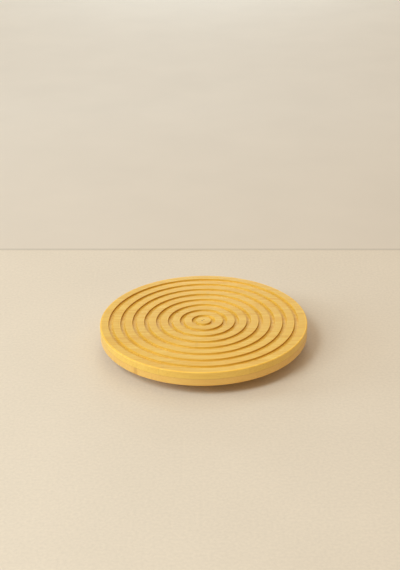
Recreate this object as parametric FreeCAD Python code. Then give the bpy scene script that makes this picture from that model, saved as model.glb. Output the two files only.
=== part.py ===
import FreeCAD, Part
import math
import os

# A round bamboo turntable that stands on a table. The grooved top board is glued from two plies and
# turns on a thin aluminium ball bearing. The bearing stands on a smaller bamboo base with rubber feet.
# Millimetres. The origin is on the table, on the axis that the board turns about, and +Z is that axis.

# Top board: two bamboo plies with ring grooves in the upper one
top_diameter = 300.0
upper_ply_thickness = 10.4
lower_ply_thickness = 10.4
board_edge_round = 1.3      # rounding of the rim's upper and lower edges
rim_land = 12.3             # flat ring between the rim and the outermost groove
groove_pitch = 17.24        # from one groove's middle to the next
groove_width = 6.2
groove_depth = 3.0
groove_floor_round = 1.0
groove_lip_round = 0.35
least_plateau_radius = 7.0  # the flat left in the middle is never smaller than this
centre_mark_radius = 0.9    # small drilled mark that the grooves were turned about
centre_mark_depth = 0.7

# Base: one bamboo disc
base_diameter = 200.0
base_thickness = 7.0
base_edge_round = 1.5

# Bearing: two flat aluminium rings with a row of balls between them
pitch_radius = 60.0         # circle that the balls' centres lie on
ball_radius = 2.5
ball_count = 30
race_clearance = 0.08       # between a ball and the groove it rolls in
ring_height = 7.0
ring_lift = 1.0             # the inner ring stands this much above the base, and so clears it
ring_gap = 2.0              # from the inner ring's face to the outer ring's face
inner_ring_width = 14.0
outer_ring_width = 14.0
ring_edge_round = 0.4
cage_thickness = 1.2
cage_web = 0.8              # nylon left above and below each ball
cage_pocket_clearance = 0.1

# Filler hole, through which the balls are put in, and its plug
filler_clearance = 0.15
filler_angle = 45.0
plug_setback = 0.4          # from the deepest point of the race to the plug's inner end
plug_recess = 0.5           # from the ring's outer face to the plug's outer end
plug_slot_width = 0.8
plug_slot_depth = 1.0

# Countersunk wood screws that hold the inner ring under the board
ring_screw_count = 4
ring_screw_first_angle = 45.0
ring_screw_head_radius = 3.4
ring_screw_shank_radius = 1.7
ring_screw_skin = 3.4       # wood left over the screw's tip in the lower ply

# Countersunk machine screws that hold the outer ring on the base
base_screw_count = 4
base_screw_first_angle = 0.0
base_screw_head_radius = 3.8
base_screw_shank_radius = 2.0
base_screw_engagement = 4.5
base_screw_run_out = 0.5    # hole left beyond the screw's tip in the ring
base_screw_chamfer = 0.5

# Rubber feet, each with a steel washer inside and a pan head screw
foot_count = 4
foot_first_angle = 45.0
foot_radius = 9.0
foot_stand = 2.5            # from the table to the base's underside
foot_seat_depth = 2.0       # how far the foot sits in its pocket in the base
foot_seat_clearance = 0.05
foot_edge_margin = 6.0      # from the foot's side to the base's rim
foot_taper = 0.6
foot_edge_round = 0.8
foot_lip_round = 0.25
washer_radius = 3.6
washer_thickness = 0.5
foot_screw_head_radius = 2.6
foot_screw_head_height = 1.3
foot_screw_head_recess = 0.7
foot_screw_head_round = 0.6
foot_screw_shank_radius = 1.4
foot_screw_skin = 1.4       # wood left over the screw's tip in the base

# What all screws share
shank_clearance = 0.15      # round a shank where it passes through without biting
head_edge = 0.25            # height of the straight edge round a countersunk head
screw_tip_share = 1.5       # a wood screw's point is this many shank radii long
recess_width_share = 0.28   # cross recess, as shares of the head's radius
recess_length_share = 0.62
recess_depth_share = 0.42

# Worked out from the values above
top_radius = top_diameter / 2
base_radius = base_diameter / 2
base_bottom = foot_stand
base_top = base_bottom + base_thickness
inner_ring_bottom = base_top + ring_lift
board_bottom = inner_ring_bottom + ring_height
glue_line = board_bottom + lower_ply_thickness
board_top = glue_line + upper_ply_thickness
race_height = base_top + (ring_height + ring_lift) / 2
race_radius = ball_radius + race_clearance
inner_ring_face = pitch_radius - ring_gap / 2
outer_ring_face = pitch_radius + ring_gap / 2
ring_screw_circle = inner_ring_face - inner_ring_width / 2
base_screw_circle = outer_ring_face + outer_ring_width / 2
foot_circle = base_radius - foot_edge_margin - foot_radius
washer_bottom = foot_screw_head_recess + foot_screw_head_height
washer_top = washer_bottom + washer_thickness
foot_top = foot_stand + foot_seat_depth


def vector(x, y, z):
    return FreeCAD.Vector(x, y, z)


def turned(corners):
    # A solid turned about Z. Each corner of its half section is (radius, height, rounding).
    points = [vector(radius, 0, height) for radius, height, rounding in corners]
    starts = []
    middles = []
    ends = []
    for index, point in enumerate(points):
        rounding = corners[index][2]
        to_last = (points[index - 1] - point).normalize()
        to_next = (points[(index + 1) % len(points)] - point).normalize()
        half_angle = to_last.getAngle(to_next) / 2
        reach = rounding / math.tan(half_angle)
        inwards = (to_last + to_next).normalize() if rounding else vector(0, 0, 0)
        starts.append(point + to_last * reach)
        middles.append(point + inwards * (rounding / math.sin(half_angle) - rounding))
        ends.append(point + to_next * reach)
    edges = []
    for index, point in enumerate(points):
        if corners[index][2]:
            edges.append(Part.Arc(starts[index], middles[index], ends[index]).toShape())
        edges.append(Part.LineSegment(ends[index], starts[(index + 1) % len(points)]).toShape())
    section = Part.Face(Part.Wire(edges))
    return section.revolve(vector(0, 0, 0), vector(0, 0, 1), 360)


def upright_cylinder(radius, low, high):
    return Part.makeCylinder(radius, high - low, vector(0, 0, low))


def on_circle(shape, circle_radius, angle):
    # A copy of a shape made on the axis, moved out along +X and turned about Z.
    copy = shape.copy()
    copy.translate(vector(circle_radius, 0, 0))
    copy.rotate(vector(0, 0, 0), vector(0, 0, 1), angle)
    return copy


def ring_of(shape, circle_radius, count, first_angle):
    # Equal copies, evenly spaced round the axis.
    angles = [first_angle + 360.0 * index / count for index in range(count)]
    return [on_circle(shape, circle_radius, angle) for angle in angles]


def cross_recess(head_radius, low):
    # The driver's cross, cut upwards into a screw head whose face is at height low.
    width = recess_width_share * head_radius
    length = 2 * recess_length_share * head_radius
    depth = recess_depth_share * head_radius
    along = Part.makeBox(length, width, depth, vector(-length / 2, -width / 2, low))
    across = Part.makeBox(width, length, depth, vector(-width / 2, -length / 2, low))
    return along.fuse(across)


def countersunk_screw(head_radius, shank_radius, low, high, tip_radius, tip_length):
    # Stands point up. A tip radius of 0 gives a wood screw's point, a larger one a chamfered end.
    cone_top = low + head_edge + head_radius - shank_radius
    corners = [
        (0, low, 0),
        (head_radius, low, 0),
        (head_radius, low + head_edge, 0),
        (shank_radius, cone_top, 0),
        (shank_radius, high - tip_length, 0),
        (tip_radius, high, 0),
    ]
    if tip_radius:
        corners.append((0, high, 0))
    return turned(corners).cut(cross_recess(head_radius, low))


def countersunk_hole(head_radius, shank_radius, low, high):
    # The seat matches the head's edge and cone, and the rest of the hole clears the shank.
    cone_top = low + head_edge + head_radius - shank_radius
    seat = turned([
        (0, low, 0),
        (head_radius, low, 0),
        (head_radius, low + head_edge, 0),
        (shank_radius, cone_top, 0),
        (0, cone_top, 0),
    ])
    return seat.fuse(upright_cylinder(shank_radius + shank_clearance, low, high))


def ring_screw():
    return countersunk_screw(ring_screw_head_radius, ring_screw_shank_radius, inner_ring_bottom,
                             glue_line - ring_screw_skin, 0, screw_tip_share * ring_screw_shank_radius)


def base_screw():
    return countersunk_screw(base_screw_head_radius, base_screw_shank_radius, base_bottom,
                             base_top + base_screw_engagement,
                             base_screw_shank_radius - base_screw_chamfer, base_screw_chamfer)


def foot_screw():
    tip = screw_tip_share * foot_screw_shank_radius
    body = turned([
        (0, foot_screw_head_recess, 0),
        (foot_screw_head_radius, foot_screw_head_recess, foot_screw_head_round),
        (foot_screw_head_radius, washer_bottom, 0),
        (foot_screw_shank_radius, washer_bottom, 0),
        (foot_screw_shank_radius, base_top - foot_screw_skin - tip, 0),
        (0, base_top - foot_screw_skin, 0),
    ])
    return body.cut(cross_recess(foot_screw_head_radius, foot_screw_head_recess))


def groove_middles():
    # Grooves are set out inwards from the rim, as many as leave the plateau in the middle.
    outermost = top_radius - rim_land - groove_width / 2
    innermost_allowed = least_plateau_radius + groove_width / 2
    count = int((outermost - innermost_allowed) / groove_pitch) + 1
    return [outermost - groove_pitch * index for index in reversed(range(count))]


def upper_ply():
    corners = [
        (0, glue_line, 0),
        (0, board_top - centre_mark_depth, 0),
        (centre_mark_radius, board_top, 0),
    ]
    floor = board_top - groove_depth
    for middle in groove_middles():
        inner = middle - groove_width / 2
        outer = middle + groove_width / 2
        corners.append((inner, board_top, groove_lip_round))
        corners.append((inner, floor, groove_floor_round))
        corners.append((outer, floor, groove_floor_round))
        corners.append((outer, board_top, groove_lip_round))
    corners.append((top_radius, board_top, board_edge_round))
    corners.append((top_radius, glue_line, 0))
    return turned(corners)


def lower_ply():
    board = turned([
        (0, board_bottom, 0),
        (top_radius, board_bottom, board_edge_round),
        (top_radius, glue_line, 0),
        (0, glue_line, 0),
    ])
    pilot = upright_cylinder(ring_screw_shank_radius, board_bottom, glue_line - ring_screw_skin)
    return board.cut(ring_of(pilot, ring_screw_circle, ring_screw_count, ring_screw_first_angle))


def race():
    return Part.makeTorus(pitch_radius, race_radius, vector(0, 0, race_height))


def flat_ring(inner_radius, outer_radius, low, high):
    return turned([
        (inner_radius, low, ring_edge_round),
        (outer_radius, low, ring_edge_round),
        (outer_radius, high, ring_edge_round),
        (inner_radius, high, ring_edge_round),
    ])


def inner_ring():
    ring = flat_ring(inner_ring_face - inner_ring_width, inner_ring_face, inner_ring_bottom, board_bottom)
    hole = countersunk_hole(ring_screw_head_radius, ring_screw_shank_radius,
                            inner_ring_bottom, board_bottom)
    holes = ring_of(hole, ring_screw_circle, ring_screw_count, ring_screw_first_angle)
    return ring.cut([race()] + holes)


def outer_ring():
    ring = flat_ring(outer_ring_face, outer_ring_face + outer_ring_width, base_top, base_top + ring_height)
    thread_end = base_top + base_screw_engagement + base_screw_run_out
    thread = upright_cylinder(base_screw_shank_radius, base_top, thread_end)
    threads = ring_of(thread, base_screw_circle, base_screw_count, base_screw_first_angle)
    filler = radial_cylinder(ball_radius + filler_clearance, pitch_radius, outer_ring_face + outer_ring_width)
    return ring.cut([race(), filler] + threads)


def radial_cylinder(radius, near, far):
    # A cylinder at race height that points away from the axis at the filler hole's angle.
    cylinder = Part.makeCylinder(radius, far - near, vector(near, 0, race_height), vector(1, 0, 0))
    return on_circle(cylinder, 0, filler_angle)


def filler_plug():
    near = pitch_radius + race_radius + plug_setback
    far = outer_ring_face + outer_ring_width - plug_recess
    plug = radial_cylinder(ball_radius + filler_clearance, near, far)
    slot_length = 2 * (ball_radius + filler_clearance)
    slot = Part.makeBox(plug_slot_depth, slot_length, plug_slot_width,
                        vector(far - plug_slot_depth, -slot_length / 2, race_height - plug_slot_width / 2))
    return plug.cut(on_circle(slot, 0, filler_angle))


def ball_cage():
    half_height = ball_radius + cage_pocket_clearance + cage_web
    ring = turned([
        (pitch_radius - cage_thickness / 2, race_height - half_height, 0),
        (pitch_radius + cage_thickness / 2, race_height - half_height, 0),
        (pitch_radius + cage_thickness / 2, race_height + half_height, 0),
        (pitch_radius - cage_thickness / 2, race_height + half_height, 0),
    ])
    pocket = Part.makeCylinder(ball_radius + cage_pocket_clearance, 2 * cage_thickness,
                               vector(-cage_thickness, 0, race_height), vector(1, 0, 0))
    return ring.cut(ring_of(pocket, pitch_radius, ball_count, 0))


def bearing_balls():
    ball = Part.makeSphere(ball_radius, vector(0, 0, race_height))
    return Part.makeCompound(ring_of(ball, pitch_radius, ball_count, 0))


def rubber_foot():
    hole_radius = foot_screw_shank_radius + shank_clearance
    return turned([
        (washer_radius, 0, foot_lip_round),
        (foot_radius - foot_taper, 0, foot_edge_round),
        (foot_radius, foot_stand, 0),
        (foot_radius, foot_top, 0),
        (hole_radius, foot_top, 0),
        (hole_radius, washer_top, 0),
        (washer_radius, washer_top, 0),
    ])


def foot_washer():
    hole_radius = foot_screw_shank_radius + shank_clearance
    return upright_cylinder(washer_radius, washer_bottom, washer_top).cut(
        upright_cylinder(hole_radius, washer_bottom, washer_top))


def base_disc():
    disc = turned([
        (0, base_bottom, 0),
        (base_radius, base_bottom, base_edge_round),
        (base_radius, base_top, base_edge_round),
        (0, base_top, 0),
    ])
    pocket = upright_cylinder(foot_radius + foot_seat_clearance, base_bottom, foot_top)
    pilot = upright_cylinder(foot_screw_shank_radius, base_bottom, base_top - foot_screw_skin)
    through = countersunk_hole(base_screw_head_radius, base_screw_shank_radius, base_bottom, base_top)
    cuts = ring_of(pocket.fuse(pilot), foot_circle, foot_count, foot_first_angle)
    cuts += ring_of(through, base_screw_circle, base_screw_count, base_screw_first_angle)
    return disc.cut(cuts)


def repeated(name, shape, circle_radius, count, first_angle):
    # The same piece at each place round the circle, as nodes name_1, name_2 and so on.
    copies = ring_of(shape, circle_radius, count, first_angle)
    return {f"{name}_{index + 1}": copy for index, copy in enumerate(copies)}


def all_pieces():
    pieces = {
        "upper_ply": upper_ply(),
        "lower_ply": lower_ply(),
        "inner_ring": inner_ring(),
        "outer_ring": outer_ring(),
        "filler_plug": filler_plug(),
        "ball_cage": ball_cage(),
        "bearing_balls": bearing_balls(),
        "base_disc": base_disc(),
    }
    ring_screws = (ring_screw_circle, ring_screw_count, ring_screw_first_angle)
    base_screws = (base_screw_circle, base_screw_count, base_screw_first_angle)
    feet = (foot_circle, foot_count, foot_first_angle)
    pieces.update(repeated("ring_screw", ring_screw(), *ring_screws))
    pieces.update(repeated("base_screw", base_screw(), *base_screws))
    pieces.update(repeated("rubber_foot", rubber_foot(), *feet))
    pieces.update(repeated("foot_washer", foot_washer(), *feet))
    pieces.update(repeated("foot_screw", foot_screw(), *feet))
    return pieces


os.makedirs("parts", exist_ok=True)
for node, shape in all_pieces().items():
    shape.exportStep(f"parts/{node}.step")
    print(node, "valid" if shape.isValid() else "NOT VALID", f"{shape.Volume:.1f} mm3")
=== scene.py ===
import math

import bmesh
import bpy
from mathutils import Matrix, Vector


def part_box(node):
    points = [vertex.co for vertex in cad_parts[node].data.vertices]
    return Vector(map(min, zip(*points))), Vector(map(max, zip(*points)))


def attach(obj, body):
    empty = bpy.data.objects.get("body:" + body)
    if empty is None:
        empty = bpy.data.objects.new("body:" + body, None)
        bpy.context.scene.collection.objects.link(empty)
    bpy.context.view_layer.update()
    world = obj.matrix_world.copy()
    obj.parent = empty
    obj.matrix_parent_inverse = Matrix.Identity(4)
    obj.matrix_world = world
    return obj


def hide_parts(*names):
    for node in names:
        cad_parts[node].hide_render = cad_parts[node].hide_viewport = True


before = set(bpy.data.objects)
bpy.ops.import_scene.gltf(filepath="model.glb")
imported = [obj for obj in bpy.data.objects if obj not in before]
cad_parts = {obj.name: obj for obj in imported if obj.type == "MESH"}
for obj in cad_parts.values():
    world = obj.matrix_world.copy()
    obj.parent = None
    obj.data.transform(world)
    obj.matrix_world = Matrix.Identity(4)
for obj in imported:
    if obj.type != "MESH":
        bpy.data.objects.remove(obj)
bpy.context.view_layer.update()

scene = bpy.context.scene
mm = 0.001


def hexColour(text, shade=1.0):
    # sRGB hex to the linear values that the shaders take
    parts = [int(text[i:i + 2], 16) / 255 for i in (1, 3, 5)]
    linear = [p / 12.92 if p <= 0.04045 else ((p + 0.055) / 1.055) ** 2.4 for p in parts]
    return [shade * p for p in linear] + [1.0]


def fillInputs(tree, node, inputs):
    # an input is a value, another node or one socket of a node
    for name, value in inputs.items():
        if isinstance(value, bpy.types.Node):
            value = [socket for socket in value.outputs if socket.enabled][0]
        if isinstance(value, bpy.types.NodeSocket):
            tree.links.new(value, node.inputs[name])
        else:
            node.inputs[name].default_value = value


def addNode(tree, kind, inputs=None, **settings):
    node = tree.nodes.new("ShaderNode" + kind)
    for name, value in settings.items():
        setattr(node, name, value)
    fillInputs(tree, node, inputs or {})
    return node


def startMaterial(name):
    # a new material, its shader, and its object coordinates turned to mm, so patterns are sized in mm
    material = bpy.data.materials.new(name)
    material.use_nodes = True
    tree = material.node_tree
    own = addNode(tree, "TexCoord").outputs["Object"]
    place = addNode(tree, "Mapping", {0: own, "Scale": (1 / mm,) * 3})
    return material, tree, tree.nodes["Principled BSDF"], place


def perMm(*lengths):
    # the Mapping scale that gives a noise grains of these lengths in mm
    return tuple(1 / length for length in lengths)


# lengths in mm; a corner rounded by less than small needs fewer segments
rounding = {"small": 0.5, "smallSegments": 2, "segments": 4, "weld": 0.0001}


def turn(corners, steps, closed=False):
    # half section of (radius, height, rounding), rounded at its corners and turned about Z
    bm = bmesh.new()
    verts = [bm.verts.new((radius, 0, height)) for radius, height, rounding in corners]
    for pair in zip(verts, verts[1:] + verts[:1] if closed else verts[1:]):
        bm.edges.new(pair)
    for amount in sorted({corner[2] for corner in corners if corner[2]}):
        sharp = [vert for vert, corner in zip(verts, corners) if corner[2] == amount]
        segments = rounding["smallSegments" if amount < rounding["small"] * mm else "segments"]
        bmesh.ops.bevel(bm, geom=sharp, offset=amount, offset_type="OFFSET", affect="VERTICES",
                        segments=segments, profile=0.5, material=-1)
    bmesh.ops.spin(bm, geom=bm.verts[:] + bm.edges[:], cent=(0, 0, 0), axis=(0, 0, 1),
                   angle=2 * math.pi, steps=steps, use_merge=True)
    bmesh.ops.remove_doubles(bm, verts=bm.verts, dist=rounding["weld"] * mm)
    bmesh.ops.recalc_face_normals(bm, faces=bm.faces)
    return bm


def post(radius, low, high, steps=48):
    # an upright cylinder on the axis
    return turn([(0, low, 0), (radius, low, 0), (radius, high, 0), (0, high, 0)], steps)


def move(bm, place, angle=0.0):
    # turned about Z in degrees, then moved
    turned = Matrix.Rotation(math.radians(angle), 3, "Z")
    bmesh.ops.rotate(bm, verts=bm.verts, cent=(0, 0, 0), matrix=turned)
    bmesh.ops.translate(bm, verts=bm.verts, vec=place)
    return bm


def layAlongX(bm):
    # from along Z to along X
    bmesh.ops.rotate(bm, verts=bm.verts, cent=(0, 0, 0), matrix=Matrix.Rotation(math.pi / 2, 3, "Y"))
    return bm


def block(length, width, height):
    bm = bmesh.new()
    bmesh.ops.create_cube(bm, size=1.0)
    bmesh.ops.scale(bm, verts=bm.verts, vec=(length, width, height))
    return bm


def join(parts):
    # several closed shapes as one bmesh
    whole = bmesh.new()
    for part in parts:
        mesh = bpy.data.meshes.new("part")
        part.to_mesh(mesh)
        part.free()
        whole.from_mesh(mesh)
        bpy.data.meshes.remove(mesh)
    return whole


def toObject(bm, name):
    mesh = bpy.data.meshes.new(name)
    bm.to_mesh(mesh)
    bm.free()
    piece = bpy.data.objects.new(name, mesh)
    scene.collection.objects.link(piece)
    return piece


def cutAway(bm, cutter):
    # the shape less the cutter
    piece, tool = toObject(bm, "piece"), toObject(cutter, "cutter")
    cut = piece.modifiers.new("cut", "BOOLEAN")
    cut.operation = "DIFFERENCE"
    cut.solver = "EXACT"
    cut.object = tool
    mesh = bpy.data.meshes.new_from_object(piece.evaluated_get(bpy.context.evaluated_depsgraph_get()))
    left = bmesh.new()
    left.from_mesh(mesh)
    for used in (mesh, piece.data, tool.data):
        bpy.data.meshes.remove(used)
    return left


def makePiece(bm, name, material, sharpAngle=35):
    # an object from a bmesh, smooth everywhere but at its real edges
    for edge in bm.edges:
        edge.smooth = edge.calc_face_angle(math.pi) < math.radians(sharpAngle)
    for face in bm.faces:
        face.smooth = True
        face.material_index = 0
    piece = toObject(bm, name)
    piece.data.materials.append(material)
    shading = piece.modifiers.new("flats stay flat", "WEIGHTED_NORMAL")
    shading.keep_sharp = True
    return piece


def settle(piece, node, body):
    # the piece stands for a CAD node and rides on its body
    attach(piece, body)
    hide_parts(node)


def reach(node):
    # a turned node's true radius about the Z axis
    return max(vert.co.xy.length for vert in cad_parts[node].data.vertices)


def standing(node):
    # where an upright node stands, its radius, and its lowest and highest points
    low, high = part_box(node)
    return Vector(((low.x + high.x) / 2, (low.y + high.y) / 2, 0)), (high.y - low.y) / 2, low.z, high.z


# where most of a noise's values lie, as a MapRange's first two limits
noiseSpan = {1: 0.3, 2: 0.7}

print("helpers ready")

camera = {"lens": 72.47, "sensor": 36, "distance": 1.6657, "elevation": 27.83,
          "pitch": 1.759, "yaw": 0.157, "roll": -0.707}


def placeCamera():
    # it looks at the middle of the board's top, then is tilted, turned and rolled a little
    data = bpy.data.cameras.new("camera")
    data.sensor_width = camera["sensor"]
    data.lens = camera["lens"]
    body = bpy.data.objects.new("camera", data)
    scene.collection.objects.link(body)
    elevation = math.radians(camera["elevation"])
    aim = Vector((0, 0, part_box("upper_ply")[1].z))
    body.location = aim + camera["distance"] * Vector((0, -math.cos(elevation), math.sin(elevation)))
    look = Matrix.Rotation(math.pi / 2 - elevation, 3, "X")
    tilt = Matrix.Rotation(math.radians(camera["pitch"]), 3, "X")
    yaw = Matrix.Rotation(math.radians(camera["yaw"]), 3, "Y")
    roll = Matrix.Rotation(math.radians(camera["roll"]), 3, "Z")
    body.rotation_euler = (look @ tilt @ yaw @ roll).to_euler()
    scene.camera = body


placeCamera()
print("camera placed")

# soft round lamps: azimuth from the front towards +X and elevation in degrees, and watts
lights = {
    "window": {"azimuth": -90, "elevation": 15, "power": 43.0, "colour": "#deefff"},
    "key": {"azimuth": -45, "elevation": 50, "power": 43.3, "colour": "#eaf7ff"},
    "keyLow": {"azimuth": -60, "elevation": 32, "power": 23.6, "colour": "#eaf7ff"},
    "back": {"azimuth": 180, "elevation": 15, "power": 15.2, "colour": "#dbf0ff"},
    "backHigh": {"azimuth": 180, "elevation": 50, "power": 7.8, "colour": "#dbf0ff"},
}
lamp = {"distance": 3.5, "size": 1.25}
surround = {"colour": "#ffe6cb", "strength": 0.58}


def placeLights():
    for name, one in lights.items():
        data = bpy.data.lights.new(name, "AREA")
        data.shape = "DISK"
        data.size = lamp["size"]
        data.energy = one["power"]
        data.color = hexColour(one["colour"])[:3]
        light = bpy.data.objects.new(name, data)
        scene.collection.objects.link(light)
        azimuth, elevation = math.radians(one["azimuth"]), math.radians(one["elevation"])
        place = lamp["distance"] * Vector((math.sin(azimuth) * math.cos(elevation),
                                           -math.cos(azimuth) * math.cos(elevation), math.sin(elevation)))
        light.location = place
        light.rotation_euler = (-place).to_track_quat("-Z", "Y").to_euler()
        light.visible_camera = False
    world = bpy.data.worlds.new("surround")
    world.use_nodes = True
    scene.world = world
    background = world.node_tree.nodes["Background"]
    background.inputs["Color"].default_value = hexColour(surround["colour"])
    background.inputs["Strength"].default_value = surround["strength"]
    scene.view_settings.view_transform = "Standard"


placeLights()
print("lights placed")

# a wide floor that curves up all round; past a soft seam behind the object its tone is the wall's, and the
# seam is a dark band of painted shade where a wall's corner would be
stage = {"flat": 4.6, "curve": 0.9, "height": 2.5, "steps": 96, "seamPlace": 334, "cornerShadeWidth": 6.0,
         "seamTurn": 1.73, "cornerShadeDepth": 0.8, "seamBlend": 2.0, "floor": "#e4dac7", "wall": "#dfd6c6",
         "wallFar": "#e5dfd2", "farPlace": 800, "mottle": 160, "mottleTone": (0.985, 1.015), "grain": 4,
         "grainTone": (0.965, 1.035), "roughness": 0.85, "specular": 0.2, "curveSteps": 24, "weld": 0.01}


def makeStageMaterial():
    # smooth matt plaster: even and pale, the floor part trowelled a little rougher than the wall part
    material, tree, shader, place = startMaterial("plaster_matt")
    turned = addNode(tree, "Mapping", {0: place, "Rotation": (0, 0, math.radians(stage["seamTurn"]))})
    back = addNode(tree, "SeparateXYZ", {0: turned}).outputs["Y"]
    past = addNode(tree, "Math", {0: back, 1: stage["seamPlace"]}, operation="SUBTRACT")
    blend = stage["seamBlend"]
    wall = addNode(tree, "MapRange", {0: past, 1: -blend, 2: blend}, interpolation_type="SMOOTHSTEP")
    further = addNode(tree, "MapRange", {0: past, 1: 0.0, 2: stage["farPlace"]})
    off = addNode(tree, "Math", {0: past}, operation="ABSOLUTE")
    # painted shade: a dark band along the seam, standing in for the shaded corner of a wall
    seam = addNode(tree, "MapRange", {0: off, 1: 0.0, 2: stage["cornerShadeWidth"], 3: stage["cornerShadeDepth"], 4: 1.0},
                   interpolation_type="SMOOTHSTEP")
    mottle = addNode(tree, "TexNoise", {0: place, "Scale": 1 / stage["mottle"], "Detail": 3.0})
    low, high = stage["mottleTone"]
    mottled = addNode(tree, "MapRange", {0: mottle, **noiseSpan, 3: low, 4: high})
    grain = addNode(tree, "TexNoise", {0: place, "Scale": 1 / stage["grain"], "Detail": 2.0})
    low, high = stage["grainTone"]
    rough = addNode(tree, "MapRange", {0: grain, **noiseSpan, 3: low, 4: high})
    grained = addNode(tree, "Mix", {0: wall, 2: rough, 3: 1.0})
    walls = addNode(tree, "Mix", {0: further, 6: hexColour(stage["wall"]), 7: hexColour(stage["wallFar"])},
                    data_type="RGBA")
    colour = addNode(tree, "Mix", {0: wall, 6: hexColour(stage["floor"]), 7: walls}, data_type="RGBA")
    for shade in (seam, mottled, grained):
        colour = addNode(tree, "Mix", {0: 1.0, 6: colour, 7: shade}, data_type="RGBA",
                         blend_type="MULTIPLY")
    fillInputs(tree, shader, {"Base Color": colour, "Roughness": stage["roughness"],
                              "Specular IOR Level": stage["specular"]})
    return material


def makeStage():
    flat, curve = stage["flat"], stage["curve"]
    bm = bmesh.new()
    middle = bm.verts.new((0, 0, 0))
    edge = bm.verts.new((flat, 0, 0))
    bm.edges.new((middle, edge))
    rise = bmesh.ops.spin(bm, geom=[edge], cent=(flat, 0, curve), axis=(0, -1, 0), angle=math.pi / 2,
                          steps=stage["curveSteps"])
    last = [part for part in rise["geom_last"] if isinstance(part, bmesh.types.BMVert)][0]
    bm.edges.new((last, bm.verts.new((flat + curve, 0, stage["height"]))))
    bmesh.ops.spin(bm, geom=bm.verts[:] + bm.edges[:], cent=(0, 0, 0), axis=(0, 0, 1), angle=2 * math.pi,
                   steps=stage["steps"], use_merge=True)
    bmesh.ops.remove_doubles(bm, verts=bm.verts, dist=stage["weld"] * mm)
    makePiece(bm, "stage", makeStageMaterial())


makeStage()
print("stage made")

# strips of cane glued side by side along X, lengths in mm; grains are (along, across, across), and a
# slope is the share of the surface's normal along Z, where an effect starts and where it is full
bamboo = {
    "stripWidth": 19.0, "stripTone": (0.975, 1.015), "glueWidth": 0.6, "glueShade": 0.95,
    "plyWidth": 0.9, "plyDepth": 0.22, "fibre": (38, 1.4, 1.4), "fibreContrast": (0.34, 0.68),
    "band": (200, 8, 8), "bandShare": 0.35, "caneShift": (900.0, 13.0), "vessel": (7, 1.2, 1.2),
    "vesselShare": (0.68, 0.8), "vesselDepth": 0.3, "poreDepth": -0.6, "cloud": 110,
    "cloudTone": (0.98, 1.015), "nodePitch": 310, "nodeStagger": 0.618, "nodeWidth": 3.6,
    "nodeWave": 0.01, "speckDepth": 0.85, "paintedWallShadeLow": 0.0, "paintedWallShadeHigh": 0.9, "paintedWallShadeTint": "#b88e58",
    "wallSlope": (0.7, 0.2), "wallFrom": 3.0, "wallFull": 5.0, "rimFrom": 3.0, "rimFull": 1.5,
    "edgeHighlight": 1.2, "edgeSlope": (0.05, 0.35), "lowerEdgeHighlight": 1.35, "underSlope": (-0.3, -0.1),
    "sideSlope": (0.6, 0.2), "streakSlope": (0.1, 0.7), "rimContrast": 0.45, "rimPolish": 0.75,
    "roughness": (0.44, 0.58), "relief": 0.2, "reliefHeight": 0.12, "ior": 1.5,
}
# shift moves a ply's pattern along and across; specks are dark spots on its top, (x, y, radius)
bambooTones = {
    "bamboo_oiled_upper_ply": {
        "node": "upper_ply", "pale": "#efc753", "deep": "#e1ac34", "dark": "#8a5a24",
        "rimToneAndSheen": ("#dadcff", 1.43), "nodeDepth": 0.06, "shift": (0, 4),
        "specks": ((-2.1, -0.9, 1.3), (0.6, 2.2, 1.1))},
    "bamboo_oiled_lower_ply": {
        "node": "lower_ply", "pale": "#eac163", "deep": "#dda644", "dark": "#96602a",
        "rimToneAndSheen": ("#f3f2ff", 1.15), "nodeDepth": 0.3, "shift": (-35, 37), "specks": ()},
    "bamboo_oiled_base": {
        "node": "base_disc", "pale": "#ecc56c", "deep": "#dcaa4e", "dark": "#9c6a30",
        "rimToneAndSheen": ("#f5f3ff", 1.08), "nodeDepth": 0.4, "shift": (130, 71), "specks": ()},
}


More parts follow.
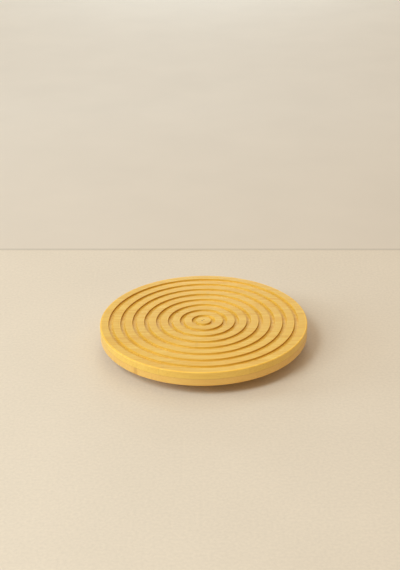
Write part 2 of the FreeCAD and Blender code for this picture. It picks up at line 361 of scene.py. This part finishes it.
def makeBamboo(name):
    # laminated bamboo, sanded and oiled: long pale fibres, short dark vessels, satin sheen
    tones = bambooTones[name]
    rim = reach(tones["node"]) / mm
    material, tree, shader, place = startMaterial(name)
    slope = addNode(tree, "SeparateXYZ", {0: addNode(tree, "TexCoord").outputs["Normal"]})
    level = addNode(tree, "Math", {0: slope.outputs["Z"]}, operation="ABSOLUTE")
    flat = addNode(tree, "Mapping", {0: place, "Scale": (1, 1, 0)})
    out = addNode(tree, "VectorMath", {0: flat}, operation="LENGTH").outputs["Value"]
    nearRim = addNode(tree, "MapRange", {0: out, 1: rim - bamboo["rimFrom"], 2: rim - bamboo["rimFull"]})
    shifted = addNode(tree, "VectorMath", {0: place, 1: (*tones["shift"], 0)})
    axes = addNode(tree, "SeparateXYZ", {0: shifted})
    across = addNode(tree, "Math", {0: axes.outputs["Y"], 1: bamboo["stripWidth"]}, operation="DIVIDE")
    strip = addNode(tree, "Math", {0: across}, operation="FLOOR")
    chance = addNode(tree, "TexWhiteNoise", {"W": strip}, noise_dimensions="1D").outputs["Value"]
    # every strip is from another cane, so its grain starts at another place
    alongShift, depthShift = bamboo["caneShift"]
    along = addNode(tree, "Math", {0: chance, 1: alongShift}, operation="MULTIPLY")
    depth = addNode(tree, "Math", {0: strip, 1: depthShift}, operation="MULTIPLY")
    origin = addNode(tree, "CombineXYZ", {"X": along, "Z": depth})
    own = addNode(tree, "VectorMath", {0: shifted, 1: origin})
    grain = {}
    for part, detail in (("fibre", 3.0), ("band", 2.0), ("vessel", 1.0)):
        stretched = addNode(tree, "Mapping", {0: own, "Scale": perMm(*bamboo[part])})
        grain[part] = addNode(tree, "TexNoise", {0: stretched, "Scale": 1.0, "Detail": detail})
    both = addNode(tree, "Mix", {0: bamboo["bandShare"], 2: grain["fibre"], 3: grain["band"]})
    low, high = bamboo["fibreContrast"]
    streak = addNode(tree, "MapRange", {0: both, 1: low, 2: high}, interpolation_type="SMOOTHSTEP")
    # on the rim the fibres are cut across, so the streaks fade there
    start, full = bamboo["streakSlope"]
    fade = addNode(tree, "MapRange", {0: level, 1: start, 2: full, 3: bamboo["rimContrast"], 4: 1.0})
    deep = addNode(tree, "Math", {0: streak, 1: fade}, operation="MULTIPLY")
    colour = addNode(tree, "Mix", {0: deep, 6: hexColour(tones["pale"]), 7: hexColour(tones["deep"])},
                     data_type="RGBA")
    # the vessels that carried the sap show as short dark dashes, and as dots on end grain
    low, high = bamboo["vesselShare"]
    vessel = addNode(tree, "MapRange", {0: grain["vessel"], 1: low, 2: high, 4: bamboo["vesselDepth"]},
                     interpolation_type="SMOOTHSTEP")
    # the cane's nodes, a thin brown line across each strip, staggered as the strips are laid
    stagger = addNode(tree, "Math", {0: strip, 1: bamboo["nodeStagger"]}, operation="MULTIPLY")
    count = addNode(tree, "Math", {0: axes.outputs["X"], 1: 1 / bamboo["nodePitch"], 2: stagger},
                    operation="MULTIPLY_ADD")
    wavy = addNode(tree, "Math", {0: grain["band"], 1: bamboo["nodeWave"], 2: count},
                   operation="MULTIPLY_ADD")
    fraction = addNode(tree, "Math", {0: wavy}, operation="FRACT")
    middle = addNode(tree, "Math", {0: fraction, 1: 0.5}, operation="SUBTRACT")
    away = addNode(tree, "Math", {0: middle}, operation="ABSOLUTE")
    width = bamboo["nodeWidth"] / bamboo["nodePitch"]
    knuckle = addNode(tree, "MapRange", {0: away, 1: 0.2 * width, 2: width, 3: tones["nodeDepth"], 4: 0.0},
                      interpolation_type="SMOOTHSTEP")
    # the glue line between the two plies, drawn wider than its real 0.1 mm to show round the board's side
    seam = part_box("lower_ply")[1].z / mm
    height = addNode(tree, "Math", {0: axes.outputs["Z"], 1: seam}, operation="SUBTRACT")
    off = addNode(tree, "Math", {0: height}, operation="ABSOLUTE")
    plies = addNode(tree, "MapRange", {0: off, 1: 0.0, 2: bamboo["plyWidth"], 3: bamboo["plyDepth"],
                                       4: 0.0}, interpolation_type="SMOOTHSTEP")
    marks = [vessel, knuckle, plies]
    for x, y, radius in tones["specks"]:
        centre = (x, y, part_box("upper_ply")[1].z / mm)
        reached = addNode(tree, "VectorMath", {0: place, 1: centre}, operation="DISTANCE").outputs["Value"]
        marks.append(addNode(tree, "MapRange", {0: reached, 1: 0.5 * radius, 2: 1.2 * radius,
                                                3: bamboo["speckDepth"], 4: 0.0},
                             interpolation_type="SMOOTHSTEP"))
    for mark in marks:
        colour = addNode(tree, "Mix", {0: mark, 6: colour, 7: hexColour(tones["dark"])}, data_type="RGBA")
    # strips differ a little in tone and meet in a glue line, drawn wider than its real 0.1 mm to show
    low, high = bamboo["stripTone"]
    toned = addNode(tree, "MapRange", {0: chance, 3: low, 4: high})
    part = addNode(tree, "Math", {0: across}, operation="FRACT")
    within = addNode(tree, "Math", {0: part, 1: 0.5}, operation="SUBTRACT")
    fromMiddle = addNode(tree, "Math", {0: within}, operation="ABSOLUTE")
    share = bamboo["glueWidth"] / bamboo["stripWidth"]
    glue = addNode(tree, "MapRange", {0: fromMiddle, 1: 0.5 - share, 2: 0.5, 3: 1.0,
                                      4: bamboo["glueShade"]}, interpolation_type="SMOOTHSTEP")
    cloud = addNode(tree, "TexNoise", {0: shifted, "Scale": 1 / bamboo["cloud"], "Detail": 1.0})
    low, high = bamboo["cloudTone"]
    clouded = addNode(tree, "MapRange", {0: cloud, **noiseSpan, 3: low, 4: high})
    # painted shade: steep groove walls are darkened and browned, the more the further they face +X, away
    # from the lamps
    start, full = bamboo["wallSlope"]
    steep = addNode(tree, "MapRange", {0: level, 1: start, 2: full}, interpolation_type="SMOOTHSTEP")
    inside = addNode(tree, "MapRange", {0: out, 1: rim - bamboo["wallFrom"], 2: rim - bamboo["wallFull"]})
    paintedWallShade = addNode(tree, "MapRange", {0: slope.outputs["X"], 3: bamboo["paintedWallShadeLow"],
                                        4: bamboo["paintedWallShadeHigh"]})
    walls = addNode(tree, "Math", {0: steep, 1: inside}, operation="MULTIPLY")
    cut = addNode(tree, "Math", {0: walls, 1: paintedWallShade}, operation="MULTIPLY")
    # painted highlight: the rim's two rounded edges are drawn paler, the lower one most
    start, full = bamboo["edgeSlope"]
    tilted = addNode(tree, "MapRange", {0: level, 1: start, 2: full}, interpolation_type="SMOOTHSTEP")
    highlightedEdge = addNode(tree, "Math", {0: nearRim, 1: tilted}, operation="MULTIPLY")
    start, full = bamboo["underSlope"]
    under = addNode(tree, "MapRange", {0: slope.outputs["Z"], 1: start, 2: full,
                                       3: bamboo["lowerEdgeHighlight"], 4: bamboo["edgeHighlight"]})
    pale = addNode(tree, "Mix", {0: highlightedEdge, 2: 1.0, 3: under})
    # the rim, fibres cut across, is drawn less golden and brighter than the faces: partly the cut fibres'
    # own tone, partly painted sheen
    start, full = bamboo["sideSlope"]
    upright = addNode(tree, "MapRange", {0: level, 1: start, 2: full})
    side = addNode(tree, "Math", {0: nearRim, 1: upright}, operation="MULTIPLY")
    colour = addNode(tree, "Mix", {0: side, 6: colour, 7: hexColour(*tones["rimToneAndSheen"])}, data_type="RGBA",
                     blend_type="MULTIPLY")
    # pale holds the painted highlight on the rim's edges
    for shade in (toned, glue, clouded, pale):
        colour = addNode(tree, "Mix", {0: 1.0, 6: colour, 7: shade}, data_type="RGBA",
                         blend_type="MULTIPLY")
    # painted shade in the groove walls
    colour = addNode(tree, "Mix", {0: cut, 6: colour, 7: hexColour(bamboo["paintedWallShadeTint"])}, data_type="RGBA",
                     blend_type="MULTIPLY")
    low, high = bamboo["roughness"]
    satin = addNode(tree, "MapRange", {0: grain["fibre"], **noiseSpan, 3: low, 4: high})
    polish = addNode(tree, "MapRange", {0: level, 3: bamboo["rimPolish"], 4: 1.0})
    gloss = addNode(tree, "Math", {0: satin, 1: polish}, operation="MULTIPLY")
    pores = addNode(tree, "Math", {0: vessel, 1: bamboo["poreDepth"], 2: grain["fibre"]},
                    operation="MULTIPLY_ADD")
    bump = addNode(tree, "Bump", {"Height": pores, "Strength": bamboo["relief"],
                                  "Distance": bamboo["reliefHeight"] * mm})
    fillInputs(tree, shader, {"Base Color": colour, "Roughness": gloss, "Normal": bump,
                              "IOR": bamboo["ior"]})
    return material


metals = {
    "aluminium_turned": {"colour": "#c8c9ca", "roughness": (0.28, 0.42), "marks": 0.5},
    "steel_zinc_plated": {"colour": "#b8b9b6", "roughness": (0.24, 0.38), "marks": 0.35},
    "steel_ground_polished": {"colour": "#c6c7c8", "roughness": (0.1, 0.16), "marks": 0.6},
}
# what the metals share: how dark the tool marks are, the size of the handling smears, the relief in mm
metalForm = {"markShade": 0.86, "smear": 25, "relief": 0.25, "reliefHeight": 0.03}


def makeMetal(name):
    # metal faced on a lathe: fine rings of tool marks, drawn coarse enough to show, and handled gloss
    look = metals[name]
    material, tree, shader, place = startMaterial(name)
    axes = addNode(tree, "SeparateXYZ", {0: place})
    flat = addNode(tree, "CombineXYZ", {"X": axes.outputs["X"], "Y": axes.outputs["Y"]})
    out = addNode(tree, "VectorMath", {0: flat}, operation="LENGTH").outputs["Value"]
    section = addNode(tree, "CombineXYZ", {"X": out, "Y": axes.outputs["Z"]})
    marks = addNode(tree, "TexNoise", {0: section, "Scale": 1 / look["marks"], "Detail": 2.0})
    smear = addNode(tree, "TexNoise", {0: place, "Scale": 1 / metalForm["smear"], "Detail": 2.0})
    colour = addNode(tree, "Mix", {0: marks, 6: hexColour(look["colour"]),
                                   7: hexColour(look["colour"], metalForm["markShade"])},
                     data_type="RGBA")
    low, high = look["roughness"]
    gloss = addNode(tree, "MapRange", {0: smear, **noiseSpan, 3: low, 4: high})
    bump = addNode(tree, "Bump", {"Height": marks, "Strength": metalForm["relief"],
                                  "Distance": metalForm["reliefHeight"] * mm})
    fillInputs(tree, shader, {"Base Color": colour, "Roughness": gloss, "Normal": bump, "Metallic": 1.0})
    return material


moulded = {
    "nylon_moulded": {"colour": "#e6e1d2", "roughness": (0.36, 0.48), "grain": 0.4, "relief": 0.15,
                      "ior": 1.53},
    "rubber_moulded": {"colour": "#262321", "roughness": (0.68, 0.82), "grain": 0.35, "relief": 0.5,
                       "ior": 1.52},
}
mouldedForm = {"flow": 9, "flowShade": 0.8, "reliefHeight": 0.04}


def makeMoulded(name):
    # moulded in a spark-eroded tool: even colour, a fine grain and slightly uneven gloss
    look = moulded[name]
    material, tree, shader, place = startMaterial(name)
    grain = addNode(tree, "TexNoise", {0: place, "Scale": 1 / look["grain"], "Detail": 2.0})
    flow = addNode(tree, "TexNoise", {0: place, "Scale": 1 / mouldedForm["flow"], "Detail": 1.0})
    colour = addNode(tree, "Mix", {0: flow, 6: hexColour(look["colour"]),
                                   7: hexColour(look["colour"], mouldedForm["flowShade"])},
                     data_type="RGBA")
    low, high = look["roughness"]
    gloss = addNode(tree, "MapRange", {0: flow, **noiseSpan, 3: low, 4: high})
    bump = addNode(tree, "Bump", {"Height": grain, "Strength": look["relief"],
                                  "Distance": mouldedForm["reliefHeight"] * mm})
    fillInputs(tree, shader, {"Base Color": colour, "Roughness": gloss, "Normal": bump, "IOR": look["ior"]})
    return material


upperBamboo, lowerBamboo, baseBamboo = [makeBamboo(name) for name in bambooTones]
aluminium, zincSteel, ballSteel = [makeMetal(name) for name in metals]
nylon, rubber = [makeMoulded(name) for name in moulded]
print("materials made")

# the board's two plies, in mm; the grooves are turned into the upper one from the rim inwards
board = {"steps": 480, "grooves": 8, "rimLand": 12.3, "groovePitch": 17.24, "grooveWidth": 6.2,
         "grooveDepth": 3.0, "lip": 0.35, "floor": 1.0, "edge": 1.3, "glueEdge": 0.15,
         "markRadius": 0.9, "markDepth": 0.7}


def makeUpperPly():
    low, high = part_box("upper_ply")
    rim = reach("upper_ply")
    top, floor = high.z, high.z - board["grooveDepth"] * mm
    corners = [(0, top - board["markDepth"] * mm, 0), (board["markRadius"] * mm, top, 0)]
    width = board["grooveWidth"] * mm
    last = rim - board["rimLand"] * mm - width
    for index in reversed(range(board["grooves"])):
        inner = last - index * board["groovePitch"] * mm
        corners += [(inner, top, board["lip"] * mm), (inner, floor, board["floor"] * mm),
                    (inner + width, floor, board["floor"] * mm), (inner + width, top, board["lip"] * mm)]
    corners += [(rim, top, board["edge"] * mm), (rim, low.z, board["glueEdge"] * mm), (0, low.z, 0)]
    piece = makePiece(turn(corners, board["steps"]), "upperPly", upperBamboo)
    settle(piece, "upper_ply", "turntable")


def makeLowerPly():
    low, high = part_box("lower_ply")
    rim = reach("lower_ply")
    corners = [(0, low.z, 0), (rim, low.z, board["edge"] * mm), (rim, high.z, board["glueEdge"] * mm),
               (0, high.z, 0)]
    holes = []
    for index in range(4):
        place, _, under, tip = standing(f"ring_screw_{index + 1}")
        holes.append(move(post(screws["ring_screw"]["core"] * mm, under, tip), place))
    ply = cutAway(turn(corners, board["steps"]), join(holes))
    piece = makePiece(ply, "lowerPly", lowerBamboo)
    settle(piece, "lower_ply", "turntable")


# screws stand head down; radii and lengths in mm
screws = {
    "ring_screw": {"core": 1.25, "crest": 1.7, "pitch": 1.5, "threadFrom": 3.2, "point": 2.55,
                   "sunk": True, "body": "turntable"},
    "base_screw": {"core": 1.62, "crest": 2.0, "pitch": 0.7, "threadFrom": 2.9, "point": 0.0,
                   "sunk": True, "body": "base"},
    "foot_screw": {"core": 1.0, "crest": 1.4, "pitch": 1.2, "threadFrom": 3.0, "point": 2.1,
                   "sunk": False, "body": "base"},
}
# what all the screws share: the recess in shares of the head's radius, the thread's ridge in shares of
# the pitch and its root in shares of the core, the turn from one screw to the next in degrees
screwForm = {"headRim": 0.25, "panHeight": 1.3, "panRound": 0.6, "endChamfer": 0.3, "turned": 29,
             "recessLength": 1.24, "recessWidth": 0.28, "recessDepth": 0.42, "recessTaper": (0.5, 0.75),
             "steps": 32, "threadSteps": 20, "threadRoot": 0.96, "threadCrest": 0.3, "threadWidth": 0.6}


def makeThread(look, low, high):
    # a ridge of triangular section wound up the core
    steps, pitch = screwForm["threadSteps"], look["pitch"] * mm
    inner, outer = screwForm["threadRoot"] * look["core"] * mm, look["crest"] * mm
    bm = bmesh.new()
    section = [(inner, low), (outer, low + screwForm["threadCrest"] * pitch),
               (inner, low + screwForm["threadWidth"] * pitch)]
    verts = [bm.verts.new((radius, 0, height)) for radius, height in section]
    edges = [bm.edges.new(pair) for pair in zip(verts, verts[1:] + verts[:1])]
    total = int((high - low) / pitch * steps)
    bmesh.ops.spin(bm, geom=verts + edges, cent=(0, 0, 0), axis=(0, 0, 1), dvec=(0, 0, pitch / steps),
                   angle=2 * math.pi * total / steps, steps=total)
    bmesh.ops.holes_fill(bm, edges=[edge for edge in bm.edges if edge.is_boundary], sides=3)
    bmesh.ops.recalc_face_normals(bm, faces=bm.faces)
    return bm


def makeScrew(kind, index):
    look = screws[kind]
    node = f"{kind}_{index + 1}"
    place, head, low, high = standing(node)
    core, point = look["core"] * mm, look["point"] * mm
    if look["sunk"]:
        rim = low + screwForm["headRim"] * mm
        corners = [(0, low, 0), (head, low, 0), (head, rim, 0), (core, rim + head - core, 0)]
    else:
        under = low + screwForm["panHeight"] * mm
        corners = [(0, low, 0), (head, low, screwForm["panRound"] * mm), (head, under, 0), (core, under, 0)]
    end = screwForm["endChamfer"] * mm
    corners += [(core, high - point, 0)] if point else [(core, high - end, 0), (core - end, high, 0)]
    screw = turn(corners + [(0, high, 0)], screwForm["steps"])
    for angle in (0, 90):
        blade = block(screwForm["recessLength"] * head, screwForm["recessWidth"] * head,
                      2 * screwForm["recessDepth"] * head)
        deep = [vert for vert in blade.verts if vert.co.z > 0]
        bmesh.ops.scale(blade, verts=deep, vec=(*screwForm["recessTaper"], 1))
        screw = cutAway(screw, move(blade, (0, 0, low), angle))
    thread = makeThread(look, low + look["threadFrom"] * mm, high - point - look["pitch"] * mm)
    whole = move(join([screw, thread]), place, screwForm["turned"] * index)
    piece = makePiece(whole, kind.replace("_s", "S") + str(index + 1), zincSteel)
    settle(piece, node, look["body"])


# lengths in mm, and the filler hole's place in degrees from +X
bearing = {"steps": 240, "round": 0.4, "raceClearance": 0.08, "raceSteps": 4, "ringWidth": 14.0,
           "cageThickness": 1.2, "cageRound": 0.2, "pocketClearance": 0.1, "pocketSteps": 24, "balls": 30,
           "ballSteps": (24, 14), "fillerAngle": 45, "fillerClearance": 0.15, "fillerSteps": 32,
           "slotWidth": 0.8, "slotDepth": 1.0, "seatClearance": 0.15, "screwRunOut": 0.5}


def ballPlaces():
    low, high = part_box("bearing_balls")
    radius = (high.z - low.z) / 2
    return reach("bearing_balls") - radius, (high.z + low.z) / 2, radius


def ringSection(face, far, low, high):
    # a flat ring with the race, an arc of the balls' circle, turned into its face
    pitch, middle, ball = ballPlaces()
    race = ball + bearing["raceClearance"] * mm
    reachUp = math.acos(abs(face - pitch) / race)
    outward = math.copysign(1, face - pitch)
    corner = bearing["round"] * mm
    section = [(far, high, corner), (far, low, corner), (face, low, corner)]
    steps = bearing["raceSteps"]
    for step in range(2 * steps + 1):
        angle = reachUp * (step / steps - 1)
        section.append((pitch + outward * race * math.cos(angle), middle + race * math.sin(angle), 0))
    section.append((face, high, corner))
    return section


def seatCutter(kind, index):
    # the countersunk hole that a screw sits in
    place, head, low, high = standing(f"{kind}_{index + 1}")
    clear = (screws[kind]["crest"] + bearing["seatClearance"]) * mm
    rim = low + screwForm["headRim"] * mm
    return move(turn([(0, low - mm, 0), (head, low - mm, 0), (head, rim, 0), (clear, rim + head - clear, 0),
                      (clear, high, 0), (0, high, 0)], 48), place)


def fillerShape(near, far):
    # a cylinder out along the hole that the balls were filled through
    _, middle, ball = ballPlaces()
    bm = layAlongX(post(ball + bearing["fillerClearance"] * mm, near, far, bearing["fillerSteps"]))
    return move(bm, (0, 0, middle), bearing["fillerAngle"])


def makeRings():
    low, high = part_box("inner_ring")
    face = reach("inner_ring")
    far = face - bearing["ringWidth"] * mm
    ring = turn(ringSection(face, far, low.z, high.z), bearing["steps"], closed=True)
    ring = cutAway(ring, join([seatCutter("ring_screw", index) for index in range(4)]))
    settle(makePiece(ring, "innerRing", aluminium), "inner_ring", "turntable")
    low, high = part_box("outer_ring")
    far = reach("outer_ring")
    face = far - bearing["ringWidth"] * mm
    holes = [fillerShape(ballPlaces()[0], far + mm)]
    for index in range(4):
        place, _, _, tip = standing(f"base_screw_{index + 1}")
        holes.append(move(post(screws["base_screw"]["crest"] * mm, low.z - mm,
                               tip + bearing["screwRunOut"] * mm), place))
    ring = turn(ringSection(face, far, low.z, high.z), bearing["steps"], closed=True)
    ring = cutAway(ring, join(holes))
    settle(makePiece(ring, "outerRing", aluminium), "outer_ring", "base")


def makePlug():
    # a short rod in the filler hole, with a screwdriver's slot in its outer end
    reached = sorted(vert.co.xy.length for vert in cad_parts["filler_plug"].data.vertices)
    _, middle, ball = ballPlaces()
    far = math.sqrt(reached[-1] ** 2 - (ball + bearing["fillerClearance"] * mm) ** 2)
    slot = block(2 * bearing["slotDepth"] * mm, 3 * ball, bearing["slotWidth"] * mm)
    bmesh.ops.translate(slot, verts=slot.verts, vec=(far, 0, 0))
    plug = cutAway(fillerShape(reached[0], far), move(slot, (0, 0, middle), bearing["fillerAngle"]))
    settle(makePiece(plug, "fillerPlug", zincSteel), "filler_plug", "base")


def makeCageAndBalls():
    pitch, middle, radius = ballPlaces()
    low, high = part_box("ball_cage")
    outer = reach("ball_cage")
    inner = outer - bearing["cageThickness"] * mm
    corner = bearing["cageRound"] * mm
    cage = turn([(inner, low.z, corner), (outer, low.z, corner), (outer, high.z, corner),
                 (inner, high.z, corner)], bearing["steps"], closed=True)
    balls, pockets = [], []
    for index in range(bearing["balls"]):
        angle = 360 * index / bearing["balls"]
        ball = bmesh.new()
        around, along = bearing["ballSteps"]
        bmesh.ops.create_uvsphere(ball, u_segments=around, v_segments=along, radius=radius)
        bmesh.ops.translate(ball, verts=ball.verts, vec=(pitch, 0, 0))
        balls.append(move(ball, (0, 0, middle), angle))
        pocket = layAlongX(post(radius + bearing["pocketClearance"] * mm, inner - mm, outer + mm,
                                bearing["pocketSteps"]))
        pockets.append(move(pocket, (0, 0, middle), angle))
    cage = cutAway(cage, join(pockets))
    settle(makePiece(cage, "ballCage", nylon), "ball_cage", "cage")
    settle(makePiece(join(balls), "bearingBalls", ballSteel), "bearing_balls", "cage")


base = {"steps": 360, "edge": 1.5, "seatClearance": 0.05}


def makeBase():
    low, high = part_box("base_disc")
    rim = reach("base_disc")
    edge = base["edge"] * mm
    disc = turn([(0, low.z, 0), (rim, low.z, edge), (rim, high.z, edge), (0, high.z, 0)], base["steps"])
    cuts = [seatCutter("base_screw", index) for index in range(4)]
    for index in range(4):
        place, radius, bottom, top = standing(f"rubber_foot_{index + 1}")
        cuts.append(move(post(radius + base["seatClearance"] * mm, bottom, top), place))
    disc = cutAway(disc, join(cuts))
    settle(makePiece(disc, "baseDisc", baseBamboo), "base_disc", "base")


foot = {"taper": 0.6, "edge": 0.8, "lip": 0.25, "shankHole": 1.55, "washerRadius": 3.6,
        "washerEdge": 0.1, "steps": 72, "washerSteps": 48}


def makeFoot(index):
    place, radius, low, high = standing(f"rubber_foot_{index + 1}")
    washerLow, washerHigh = [corner.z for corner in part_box(f"foot_washer_{index + 1}")]
    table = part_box("base_disc")[0].z
    bore, hole = foot["washerRadius"] * mm, foot["shankHole"] * mm
    rubberFoot = turn([(bore, low, foot["lip"] * mm), (radius - foot["taper"] * mm, low, foot["edge"] * mm),
                       (radius, table, 0), (radius, high, 0), (hole, high, 0), (hole, washerHigh, 0),
                       (bore, washerHigh, 0)], foot["steps"], closed=True)
    piece = makePiece(move(rubberFoot, place), f"rubberFoot{index + 1}", rubber)
    settle(piece, f"rubber_foot_{index + 1}", "base")
    washer = turn([(hole, washerLow, 0), (bore, washerLow, foot["washerEdge"] * mm),
                   (bore, washerHigh, 0), (hole, washerHigh, 0)], foot["washerSteps"], closed=True)
    piece = makePiece(move(washer, place), f"footWasher{index + 1}", zincSteel)
    settle(piece, f"foot_washer_{index + 1}", "base")


makeUpperPly()
makeLowerPly()
print("board made")
makeRings()
makePlug()
makeCageAndBalls()
print("bearing made")
makeBase()
for index in range(4):
    makeFoot(index)
    for kind in screws:
        makeScrew(kind, index)
print("base, feet and screws made")
